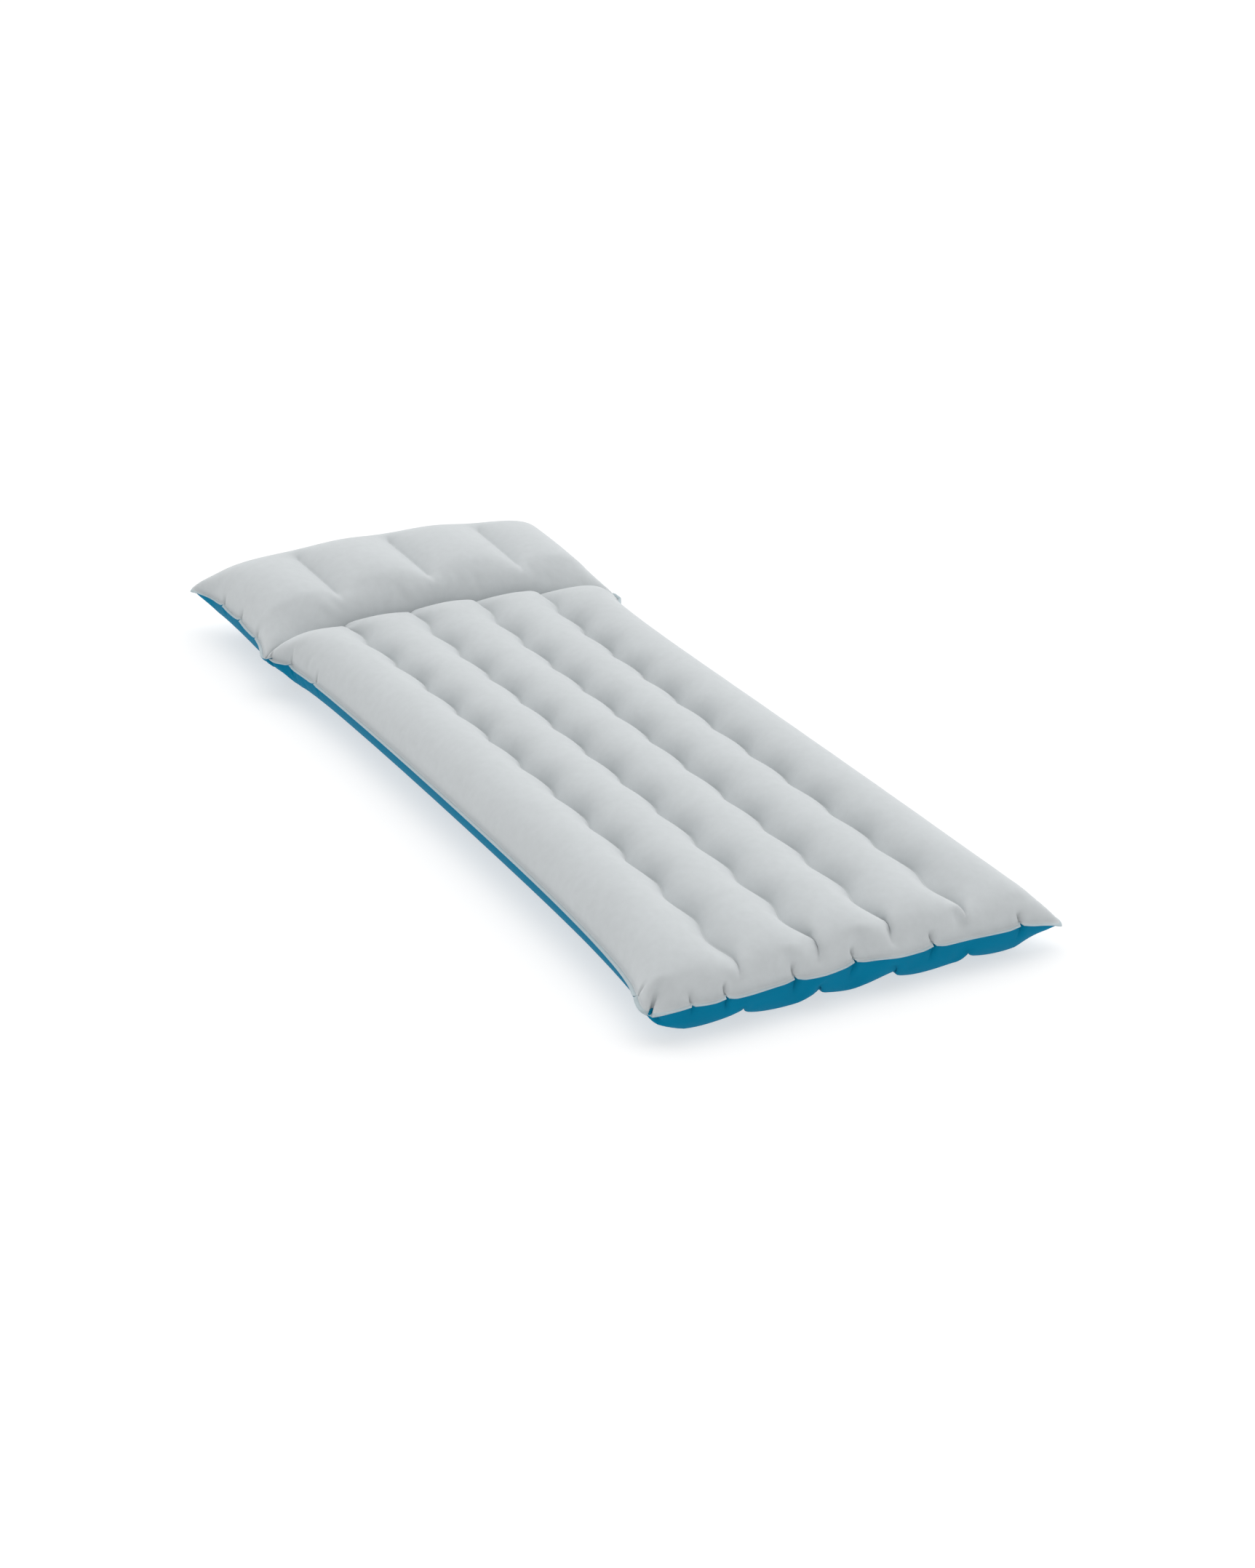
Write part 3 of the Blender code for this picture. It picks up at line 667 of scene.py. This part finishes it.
def smooth_edges(sheets, points):
    """Evens out the strips along all four edges, but not at the corners or the cross seam."""
    across = np.clip((sheets.across[-1] - np.abs(sheets.across) - SMOOTH_FROM) / SMOOTH_FADE, 0, 1)
    smooth_edge(points[:, :, :EDGE_ROWS], across, FOOT_EDGE_PASSES)
    smooth_edge(points[:, :, ::-1][:, :, :EDGE_ROWS], across, SIDE_EDGE_PASSES)
    from_cross = (sheets.along - sheets.along[sheets.cross_row]) / 0.025
    along = np.clip((sheets.along[-1] - np.abs(sheets.along) - SMOOTH_FROM) / SMOOTH_FADE, 0, 1)
    along = along * (1 - np.exp(-from_cross**2))
    turned = points.swapaxes(1, 2)
    smooth_edge(turned[:, :, :EDGE_ROWS], along, SIDE_EDGE_PASSES)
    smooth_edge(turned[:, :, ::-1][:, :, :EDGE_ROWS], along, SIDE_EDGE_PASSES)


def stand_foot_wall(sheets, points):
    """Brings the underside's end wall at the foot nearer to upright, down to where it meets the floor."""
    from_edge = sheets.along - sheets.along[0]
    rows = np.flatnonzero(from_edge < FOOT_WALL_REACH)
    share = np.clip((FOOT_WALL_REACH - from_edge[rows]) / (FOOT_WALL_REACH - FOOT_WALL), 0, 1)
    share = FOOT_WALL_STAND * share * share * (3 - 2 * share)
    inner = np.clip((sheets.across[-1] - np.abs(sheets.across)) / 0.08, 0, 1)[:, None]
    edge = points[UNDER][:, :1, 1]
    points[UNDER][:, rows, 1] += (edge - points[UNDER][:, rows, 1]) * share * inner


def bend_corners(points):
    """Lets one foot corner hang, and fills out the other one."""
    low, high = points.min(axis=(0, 1, 2)), points.max(axis=(0, 1, 2))
    for corner, shift in (((high[0], low[1]), HANGING_CORNER), ((low[0], low[1]), FULL_CORNER)):
        far = np.hypot(points[..., 0] - corner[0], points[..., 1] - corner[1])
        share = np.clip(1 - far / CORNER_REACH, 0, 1) ** 2
        points += share[..., None] * np.array(shift)
    np.maximum(points[..., 2], 0, out=points[..., 2])


def darts_of(sheets):
    """Short folds where the welded edge collects spare cloth.
    Each is (grid axis, end, index, depth, lift, inwards)."""
    cross = sheets.along[sheets.cross_row]
    found = []
    for edge, inwards, places in ((0, (0, 1, 0), FOOT_DARTS), (-1, (0, -1, 0), HEAD_DARTS)):
        for place, depth, lift in places:
            at = int(np.argmin(np.abs(sheets.places[:, edge, 0] - place)))
            found.append((1, edge, at, depth, lift, inwards))
    for edge, inwards, places in ((0, (1, 0, 0), LEFT_DARTS), (-1, (-1, 0, 0), RIGHT_DARTS)):
        for place, depth, lift in places:
            at = int(np.argmin(np.abs(sheets.along - cross - place)))
            found.append((2, edge, at, depth, lift, inwards))
    return found


def press_dart(sheets, points, axis, edge, at, depth, lift, inwards):
    """Folds the cloth inwards along a short line that starts at the welded edge."""
    grid = points if axis == 1 else points.swapaxes(1, 2)
    flat = sheets.places if axis == 1 else sheets.places.swapaxes(0, 1)
    up = outward(points)
    up = up if axis == 1 else up.swapaxes(1, 2)
    near = np.arange(at - 4, at + 5)
    hump = lift * np.exp(-(((near - at) / 1.6) ** 2))
    order = range(DART_ROWS) if edge == 0 else range(-1, -DART_ROWS - 1, -1)
    for step, row in enumerate(order):
        strength = min(1.0, (DART_ROWS - step) / (DART_ROWS - 3.0))
        for side in (TOP, UNDER):
            for beside in (at - 1, at + 1):
                gap = grid[side, at, row] - grid[side, beside, row]
                grid[side, beside, row] += DART_PINCH * strength * gap
        for beside in (at - 1, at + 1):
            flat[beside, row] += DART_PINCH * strength * (flat[at, row] - flat[beside, row])
        if step < 2:
            grid[:, near, row, 2] += hump
            grid[:, at, row] += np.array(inwards) * depth * 0.8
            continue
        grid[TOP, near, row, 2] += hump * strength * 0.8
        grid[UNDER, near, row, 2] += hump * strength * 0.3
        grid[TOP, at, row] -= up[TOP, at, row] * depth * strength
        grid[UNDER, at, row] -= up[UNDER, at, row] * depth * strength * 0.5
        grid[UNDER, at + 1, row] += up[UNDER, at + 1, row] * depth * strength * 0.25


def inflate(scene):
    """Blows the sheets up on finer and finer grids, and fits the result to the frame's length."""
    cut, air = scene.mattress_cut, scene.mattress_air
    sheets = FlatSheets(cut, 0)
    points = blow_up(sheets, cut, air, slack_start(sheets), air.first_steps)
    stages = [(1, air.second_steps)]
    stages.append((2, air.third_steps))
    for fineness, steps in stages:
        sheets = FlatSheets(cut, fineness)
        points = finer(finer(points, 1), 2)
        points = blow_up(sheets, cut, air, points, steps)
    points = points.astype(np.float64)
    smooth_pillow_foot(sheets, points)
    smooth_edges(sheets, points)
    stand_foot_wall(sheets, points)
    bend_corners(points)
    for dart in darts_of(sheets):
        press_dart(sheets, points, *dart)
    y = points[..., 1]
    scale = (CAD_HIGH[1] - CAD_LOW[1]) / (y.max() - y.min())
    points *= scale
    points[..., 1] += (CAD_HIGH[1] + CAD_LOW[1] - points[..., 1].max() - points[..., 1].min()) / 2
    return sheets, points


filled = {}


def inflated(scene):
    """The sheets full of air, worked out once for all the pieces that need them."""
    if not filled:
        filled["sheets"], filled["points"] = inflate(scene)
    return filled["sheets"], filled["points"]


# ---------------------------------------------------------------- pieces from the inflated sheets


def outward(points):
    """The outward direction of each point of both sheets."""
    push = push_of_air(points.astype(np.float32)).astype(np.float64)
    return push / np.maximum(np.linalg.norm(push, axis=-1, keepdims=True), 1e-12)


def store(mesh, name, kind, values):
    attribute = mesh.attributes.new(name, kind, "POINT")
    key = "vector" if kind == "FLOAT_VECTOR" else "value"
    attribute.data.foreach_set(key, np.ascontiguousarray(values, np.float32).ravel())


def cloth_object(name, points, flat, material, thickness, flip=False, drop=None, **readings):
    """A sheet from a grid of points, with thickness inwards, that keeps each point's flat place."""
    count_x, count_y = points.shape[:2]
    number = np.arange(count_x * count_y).reshape(count_x, count_y)
    quads = np.stack([number[:-1, :-1], number[1:, :-1], number[1:, 1:], number[:-1, 1:]], -1).reshape(-1, 4)
    if drop is not None:
        quads = quads[~drop.ravel()]
    if flip:
        quads = quads[:, ::-1]
    mesh = bpy.data.meshes.new(name)
    mesh.from_pydata(points.reshape(-1, 3).tolist(), [], quads.tolist())
    store(mesh, "cloth", "FLOAT_VECTOR", flat.reshape(-1, 3))
    for reading, values in readings.items():
        store(mesh, reading, "FLOAT", values)
    mesh.validate()
    mesh.polygons.foreach_set("use_smooth", [True] * len(mesh.polygons))
    mesh.materials.append(material)
    obj = bpy.data.objects.new(name, mesh)
    bpy.context.scene.collection.objects.link(obj)
    loose_points(obj)
    solidify = obj.modifiers.new("thickness", "SOLIDIFY")
    solidify.thickness = thickness
    solidify.offset = -1.0
    solidify.use_quality_normals = True
    settle(obj)
    return obj


def loose_points(obj):
    """Deletes the points that no face uses."""
    bm = bmesh.new()
    bm.from_mesh(obj.data)
    bmesh.ops.delete(bm, geom=[v for v in bm.verts if not v.link_faces], context="VERTS")
    bm.to_mesh(obj.data)
    bm.free()


def settle(obj):
    """Applies the object's modifiers."""
    graph = bpy.context.evaluated_depsgraph_get()
    graph.update()
    mesh = bpy.data.meshes.new_from_object(obj.evaluated_get(graph))
    old = obj.data
    obj.modifiers.clear()
    obj.data = mesh
    mesh.name = obj.name
    bpy.data.meshes.remove(old)


NECK_STANDS_OUT = 0.0050
WALL_GAP = 0.0007
HEAD_REACH = 0.10
# Width of the seam wear and painted crease shade beside each weld.
SEAM_WEAR_AND_SHADE_WIDTH = 0.014
EDGE_TUCK = 0.4


def valve_wall(points):
    """Draws the underside's wall flat against the back of the valve's flange.
    It gives the faces to cut out."""
    low, high = (np.array(corner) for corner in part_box("valve_base"))
    radius = (high[0] - low[0]) / 2
    centre = (low + high) / 2
    back = high[1] - NECK_STANDS_OUT - WALL_GAP
    x, y, z = points[..., 0] - centre[0], points[..., 1], points[..., 2] - centre[2]
    far = np.hypot(x, z)
    near_head = y > back - HEAD_REACH
    share = np.clip(1 - (far - radius * 1.15) / (radius * 1.8), 0, 1) * near_head
    share = share * share * (3 - 2 * share)
    points[..., 1] += (back - y) * share
    inside = (far < radius * 0.72) & near_head
    cells = inside[:-1, :-1] | inside[1:, :-1] | inside[1:, 1:] | inside[:-1, 1:]
    rim = np.zeros_like(inside)
    for a in (slice(None, -1), slice(1, None)):
        for b in (slice(None, -1), slice(1, None)):
            rim[a, b] |= cells
    rim &= ~inside
    scale = np.where(rim, radius * 0.76 / np.maximum(far, 1e-6), 1.0)
    points[..., 0] = centre[0] + x * scale
    points[..., 2] = centre[2] + z * scale
    return cells


def seam_wear_and_shade(sheets):
    """How near each point is to a weld, for wear and painted crease shade: 1 on it, 0 from a finger's width
    away.
    """
    x = sheets.places[..., 0]
    y = sheets.places[..., 1]
    near = np.full(x.shape, np.inf)
    rows = np.zeros(x.shape, bool)
    rows[:, sheets.web_rows] = True
    for seam in sheets.seams:
        gap = np.abs(x - x[seam][None])
        near = np.where(rows, np.minimum(near, gap), near)
    near = np.minimum(near, np.abs(y - sheets.along[sheets.cross_row]))
    near = np.minimum(near, sheets.across[-1] - np.abs(x))
    near = np.minimum(near, sheets.along[-1] - np.abs(y))
    return np.clip(1 - near / SEAM_WEAR_AND_SHADE_WIDTH, 0, 1) ** 2


def finish_piece(obj, nodes, body="mattress"):
    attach(obj, body)
    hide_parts(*nodes)
    return obj


class MATTRESS_OT_skins(bpy.types.Operator):
    """Blow up the two sheets, and make the body top, the pillow top and the underside"""

    bl_idname = "mattress.skins"
    bl_label = "Inflate the skins"

    def execute(self, context):
        scene = context.scene
        cut, tones = scene.mattress_cut, scene.mattress_colours
        sheets, points = inflated(scene)
        skin = points + outward(points) * cut.sheet
        for a, b, axis in ((0, 1, 1), (-1, -2, 1), (0, 1, 2), (-1, -2, 2)):
            edge = [slice(None)] * 4
            inner = [slice(None)] * 4
            edge[axis], inner[axis] = a, b
            skin[tuple(edge)] += (skin[tuple(inner)] - skin[tuple(edge)]) * EDGE_TUCK
        skin[..., 2] += cut.sheet
        # Mask for seam wear and for painted crease shade along the welds.
        wear_and_shade = seam_wear_and_shade(sheets)
        grey = flocked_cloth(tones)
        cross = sheets.cross_row
        body = slice(0, cross + 1)
        pillow = slice(cross, None)
        for name, rows, nodes in (
            ("body_top_cloth", body, ("body_top_panel",)),
            ("pillow_top_cloth", pillow, ("pillow_top_panel",)),
        ):
            made = cloth_object(
                name, skin[TOP][:, rows], sheets.places[:, rows], grey, cut.sheet, seam=wear_and_shade[:, rows]
            )
            finish_piece(made, nodes)
        hole = valve_wall(skin[UNDER])
        made = cloth_object(
            "underside_cloth",
            skin[UNDER],
            sheets.places,
            woven_cloth(tones),
            cut.sheet,
            flip=True,
            drop=hole,
            seam=wear_and_shade,
        )
        finish_piece(made, ("bottom_panel",))
        return {"FINISHED"}


def edge_loop(grid):
    """The points of a grid's border, once round."""
    return np.concatenate([grid[:-1, 0], grid[-1, :-1], grid[:0:-1, -1], grid[0, :0:-1]])


class MATTRESS_OT_weld(bpy.types.Operator):
    """Make the pressed edge that joins the two sheets all round"""

    bl_idname = "mattress.weld"
    bl_label = "Press the edge"

    def execute(self, context):
        scene = context.scene
        cut, tones = scene.mattress_cut, scene.mattress_colours
        sheets, points = inflated(scene)
        outer = edge_loop(points[TOP])
        index_x = np.clip(np.arange(points.shape[1]), 1, points.shape[1] - 2)
        index_y = np.clip(np.arange(points.shape[2]), 1, points.shape[2] - 2)
        inner = edge_loop(points[TOP][index_x][:, index_y])
        up = edge_loop(outward(points)[TOP][index_x][:, index_y])
        flat = edge_loop(sheets.places)
        half = cut.weld_thickness / 2
        lift = np.array([0, 0, cut.sheet])
        rings = [
            (inner + up * half * 0.9, 1.0),
            (inner + (outer - inner) * 0.15 + up * half, 1.0),
            (inner + (outer - inner) * 0.92 + up * half, 1.0),
            (outer + up * half * 0.4, 1.0),
            (outer - up * half * 0.4, 0.0),
            (inner + (outer - inner) * 0.92 - up * half, 0.0),
            (inner + (outer - inner) * 0.15 - up * half, 0.0),
            (inner - up * half * 0.9, 0.0),
        ]
        count = len(outer)
        mesh = bpy.data.meshes.new("edge_weld_band")
        verts = np.concatenate([ring + lift for ring, _ in rings])
        verts[:, 2] = np.maximum(verts[:, 2], 0.0)
        at = np.arange(count)
        following = (at + 1) % count
        quads = []
        for k in range(len(rings)):
            a, b = k * count, (k + 1) % len(rings) * count
            quads.append(np.stack([a + at, a + following, b + following, b + at], -1))
        mesh.from_pydata(verts.tolist(), [], np.concatenate(quads).tolist())
        store(mesh, "cloth", "FLOAT_VECTOR", np.tile(flat, (len(rings), 1)))
        store(mesh, "upper", "FLOAT", np.repeat([side for _, side in rings], count))
        mesh.polygons.foreach_set("use_smooth", [True] * len(mesh.polygons))
        mesh.materials.append(pressed_weld(tones))
        obj = bpy.data.objects.new("edge_weld_band", mesh)
        scene.collection.objects.link(obj)
        bm = bmesh.new()
        bm.from_mesh(mesh)
        bmesh.ops.remove_doubles(bm, verts=bm.verts, dist=1e-6)
        bmesh.ops.recalc_face_normals(bm, faces=bm.faces)
        bm.to_mesh(mesh)
        bm.free()
        finish_piece(obj, ("perimeter_weld",))
        return {"FINISHED"}


class MATTRESS_OT_webs(bpy.types.Operator):
    """Make the webs and ties that hold the two sheets together inside"""

    bl_idname = "mattress.webs"
    bl_label = "Weld in the webs"

    def execute(self, context):
        scene = context.scene
        cut, tones = scene.mattress_cut, scene.mattress_colours
        sheets, points = inflated(scene)
        film = web_film(tones)
        names = [f"wave_beam_{k + 1}" for k in range(COLUMN_SEAMS)]
        names += ["pillow_baffle"] + [f"pillow_tie_{k + 1}" for k in range(TIES)]
        for name, (top, under, _) in zip(names, webs_of(sheets, cut)):
            upper, lower = points[top], points[under]
            shares = np.linspace(0.0, 1.0, 5)[:, None, None]
            ribbon = lower + (upper - lower) * shares
            ribbon[..., 2] += cut.sheet
            run = np.concatenate([[0], np.cumsum(np.linalg.norm(np.diff(upper, axis=0), axis=-1))])
            flat = np.zeros_like(ribbon)
            flat[..., 0] = run
            flat[..., 1] = shares[..., 0] * cut.web_height
            made = cloth_object(name.replace("_beam", "_web") + "_film", ribbon, flat, film, cut.film)
            finish_piece(made, (name,))
        return {"FINISHED"}


class MATTRESS_OT_valve(bpy.types.Operator):
    """Finish the valve in the head wall"""

    bl_idname = "mattress.valve"
    bl_label = "Finish the valve"

    def execute(self, context):
        tones = context.scene.mattress_colours
        vinyl = moulded("valve_vinyl", tones.vinyl, 0.38, 0.0006)
        rubber = moulded("flap_rubber", tones.rubber, 0.55, 0.0004)
        for node, material in (
            ("valve_base", vinyl),
            ("valve_plug", vinyl),
            ("inflation_cap", vinyl),
            ("check_flap", rubber),
        ):
            for material_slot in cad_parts[node].material_slots:
                material_slot.material = material
        return {"FINISHED"}


# ---------------------------------------------------------------- studio


FLOOR_RADIUS = 10.0
FLOOR_GAP = 0.0005
RIM_RISE = 6.0
RIM_ANGLE = math.radians(75.0)
RIM_STEPS = 8
KEY_SOFTNESS = math.radians(100.0)
KEY_PLACE = (1.5, 2.2, 3.2)
LOOK_AT = (-0.0357, -0.2603, 0.080)


class MATTRESS_OT_studio(bpy.types.Operator):
    """Set up the plain floor, the soft lights and the camera"""

    bl_idname = "mattress.studio"
    bl_label = "Set up the studio"

    def execute(self, context):
        scene = context.scene
        studio = scene.mattress_studio
        bm = bmesh.new()
        bmesh.ops.create_circle(bm, cap_ends=True, segments=96, radius=FLOOR_RADIUS)
        rim = bmesh.ops.extrude_edge_only(bm, edges=bm.edges[:])
        for share in np.linspace(0, 1, RIM_STEPS + 1)[1:]:
            verts = [item for item in rim["geom"] if isinstance(item, bmesh.types.BMVert)]
            angle = share * RIM_ANGLE
            radius = FLOOR_RADIUS + RIM_RISE * math.sin(angle)
            for vert in verts:
                vert.co = Vector((vert.co.x, vert.co.y, 0.0)).normalized() * radius
                vert.co.z = RIM_RISE * (1.0 - math.cos(angle))
            if share < 1:
                edges = [item for item in rim["geom"] if isinstance(item, bmesh.types.BMEdge)]
                rim = bmesh.ops.extrude_edge_only(bm, edges=edges)
        mesh = bpy.data.meshes.new("studio_floor")
        bm.to_mesh(mesh)
        bm.free()
        paper = Recipe(
            "studio_paper", Roughness=0.9, Specular_IOR_Level=0.1, Emission_Strength=studio.floor_glow
        )
        paper.feed(Emission_Color=(1.0, 1.0, 1.0, 1.0))
        mottle = paper.noise(paper.node("ShaderNodeTexCoord", {}, {}, output=3), 3.0)
        tone = paper.tinted(shade(studio.floor, 0.995), shade(studio.floor, 1.005), mottle)
        mesh.materials.append(paper.feed(Base_Color=tone))
        floor = bpy.data.objects.new("studio_floor", mesh)
        floor.location.z = -FLOOR_GAP
        scene.collection.objects.link(floor)

        world = bpy.data.worlds.new("studio_sky")
        world.use_nodes = True
        background = world.node_tree.nodes["Background"]
        background.inputs["Color"].default_value = (1.0, 1.0, 1.0, 1.0)
        background.inputs["Strength"].default_value = studio.sky
        scene.world = world

        add_light("key_light", studio.key, KEY_SOFTNESS, KEY_PLACE)

        camera = bpy.data.cameras.new("studio_camera")
        camera.sensor_fit = "VERTICAL"
        camera.sensor_height = 36.0
        camera.lens = studio.lens
        camera.dof.use_dof = False
        camera.clip_end = 100.0
        target = Vector(LOOK_AT)
        back = Vector((
            math.sin(studio.turn) * math.cos(studio.rise),
            -math.cos(studio.turn) * math.cos(studio.rise),
            math.sin(studio.rise),
        ))
        right = Vector((math.cos(studio.turn), math.sin(studio.turn), 0.0))
        up = back.cross(right)
        leaning = right * math.cos(studio.roll) + up * math.sin(studio.roll)
        upright = back.cross(leaning)
        turn = Matrix((leaning, upright, back)).transposed()
        obj = bpy.data.objects.new("studio_camera", camera)
        obj.matrix_world = Matrix.Translation(target + back * studio.distance) @ turn.to_4x4()
        scene.collection.objects.link(obj)
        scene.camera = obj
        scene.view_settings.view_transform = "Standard"
        return {"FINISHED"}


def add_light(name, strength, softness, place):
    light = bpy.data.lights.new(name, "SUN")
    light.energy = strength
    light.angle = softness
    obj = bpy.data.objects.new(name, light)
    obj.location = place
    obj.rotation_euler = (-Vector(place)).to_track_quat("-Z", "Y").to_euler()
    bpy.context.scene.collection.objects.link(obj)
    return obj


# ---------------------------------------------------------------- add-on


class MATTRESS_PT_make(bpy.types.Panel):
    """Lists the steps that make the mattress"""

    bl_idname = "MATTRESS_PT_make"
    bl_label = "Camping mattress"
    bl_space_type = "VIEW_3D"
    bl_region_type = "UI"
    bl_category = "Mattress"

    def draw(self, context):
        for group in ("mattress_cut", "mattress_air", "mattress_colours", "mattress_studio"):
            box = self.layout.box()
            settings = getattr(context.scene, group)
            for name in settings.__annotations__:
                box.prop(settings, name)
        for step in STEPS:
            self.layout.operator(step.bl_idname)


STEPS = (MATTRESS_OT_skins, MATTRESS_OT_weld, MATTRESS_OT_webs, MATTRESS_OT_valve, MATTRESS_OT_studio)
GROUPS = {
    "mattress_cut": MattressCut,
    "mattress_air": MattressAir,
    "mattress_colours": MattressColours,
    "mattress_studio": MattressStudio,
}


def register():
    for group in GROUPS.values():
        bpy.utils.register_class(group)
    for name, group in GROUPS.items():
        setattr(bpy.types.Scene, name, PointerProperty(type=group))
    for step in STEPS:
        bpy.utils.register_class(step)
    bpy.utils.register_class(MATTRESS_PT_make)


def unregister():
    bpy.utils.unregister_class(MATTRESS_PT_make)
    for step in reversed(STEPS):
        bpy.utils.unregister_class(step)
    for name, group in GROUPS.items():
        delattr(bpy.types.Scene, name)
        bpy.utils.unregister_class(group)


def main():
    register()
    bpy.ops.mattress.skins()
    bpy.ops.mattress.weld()
    bpy.ops.mattress.webs()
    bpy.ops.mattress.valve()
    bpy.ops.mattress.studio()


if __name__ == "__main__":
    main()
